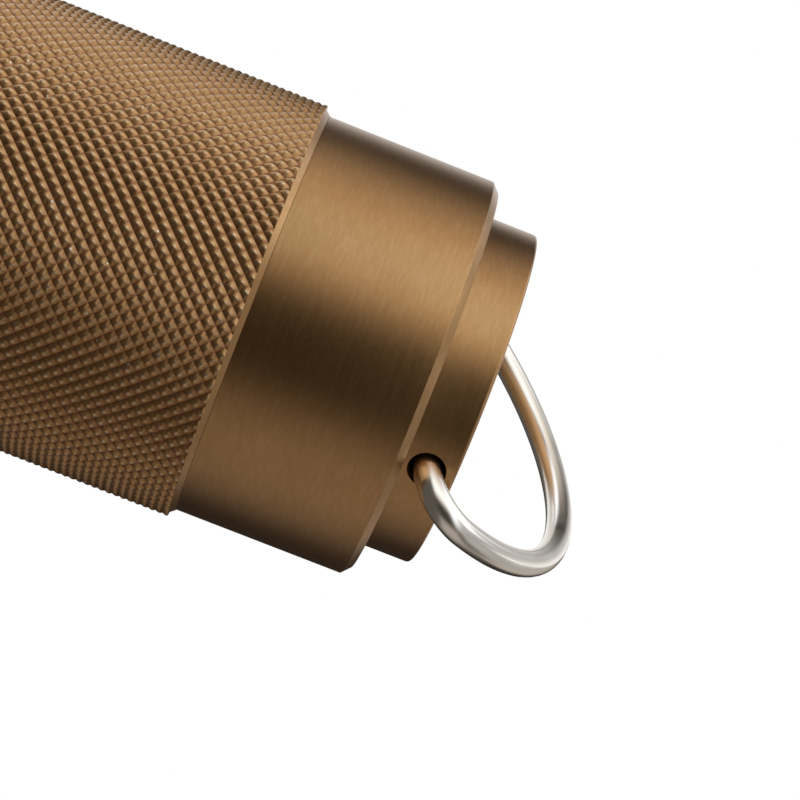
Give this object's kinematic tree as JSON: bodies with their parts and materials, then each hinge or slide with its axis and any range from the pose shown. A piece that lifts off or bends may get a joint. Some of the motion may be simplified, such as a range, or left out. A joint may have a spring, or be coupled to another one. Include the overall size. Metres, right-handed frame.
{
  "type": "keychain flashlight",
  "caption": "Small round keychain flashlight with a knurled battery tube, a twist-switch head, a screw-on tail cap and a swinging wire ring.",
  "frame": {"origin": "centre of the bezel's front face, which the flashlight stands on", "axes": "+Z along the flashlight's axis from the bezel to the tail, +Y along the tail's cross-hole, +X towards the side that the ring is swung to"},
  "size_m": [0.021, 0.021, 0.0689],
  "materials": {
    "anodised_body": "satin brown anodised, turned",
    "ring_steel": "polished",
    "spring_steel": "plated",
    "brass": "machined",
    "rubber": "matte",
    "foam": "open cell",
    "cell_can": "nickel plated",
    "cell_button": "nickel plated",
    "cell_sleeve": "shrink film",
    "paper": "fibre",
    "lens_glass": "polished",
    "reflector": "mirror",
    "white_board": "solder mask",
    "ceramic": "matte",
    "led_dome": "clear silicone over phosphor",
    "nylon": "moulded",
    "red_silicone": "matte",
    "black_silicone": "matte",
    "green_board": "solder mask",
    "ferrite": "sintered",
    "epoxy": "moulded",
    "tan_ceramic": "fired"
  },
  "bodies": {
    "barrel": {"body_tube": "anodised_body", "tail_o_ring": "rubber", "head_o_ring": "rubber", "cell_can": "cell_can", "cell_sleeve": "cell_sleeve", "cell_seal": "paper", "cell_button": "cell_button"},
    "tail_contact": {"tail_contact": "brass", "tail_spring": "spring_steel"},
    "tail_cap": {"tail_cap": "anodised_body"},
    "key_ring": {"key_ring": "ring_steel"},
    "head_foam": {"foam_ring": "foam"},
    "head": {"head_shell": "anodised_body", "bezel_ring": "anodised_body", "front_lens": "lens_glass", "lens_gasket": "rubber", "reflector": "reflector", "led_board": "white_board", "led_package": "ceramic", "led_dome": "led_dome", "led_spacer": "nylon", "pill": "brass", "lead_positive": "red_silicone", "lead_negative": "black_silicone", "driver_board": "green_board", "driver_inductor": "ferrite", "driver_chip": "epoxy", "driver_capacitor": "tan_ceramic", "driver_retaining_ring": "brass", "contact_spring": "spring_steel"}
  },
  "joints": [
    {"name": "tail_cap_travel", "type": "slide", "parent": "barrel", "child": "tail_contact", "axis": [0, 0, 1], "range_m": [0, 0.00251]},
    {"name": "tail_cap_turn", "type": "hinge", "parent": "tail_contact", "child": "tail_cap", "pos_m": [0, 0, 0.0555], "axis": [0, 0, 1], "range_deg": [0, 900]},
    {"name": "ring_swing", "type": "hinge", "parent": "tail_cap", "child": "key_ring", "pos_m": [0, 0, 0.06071], "axis": [0, 1, 0], "range_deg": [-124, 60]},
    {"name": "head_travel", "type": "slide", "parent": "barrel", "child": "head_foam", "axis": [0, 0, -1], "range_m": [-0.00026, 0.00201]},
    {"name": "head_turn", "type": "hinge", "parent": "head_foam", "child": "head", "pos_m": [0, 0, 0.0215], "axis": [0, 0, -1], "range_deg": [-90, 720]}
  ],
  "couplings": [
    {"joint": "tail_cap_travel", "follows": "tail_cap_turn", "m_per_rad": 0.00015915},
    {"joint": "head_travel", "follows": "head_turn", "m_per_rad": 0.00015915}
  ]
}
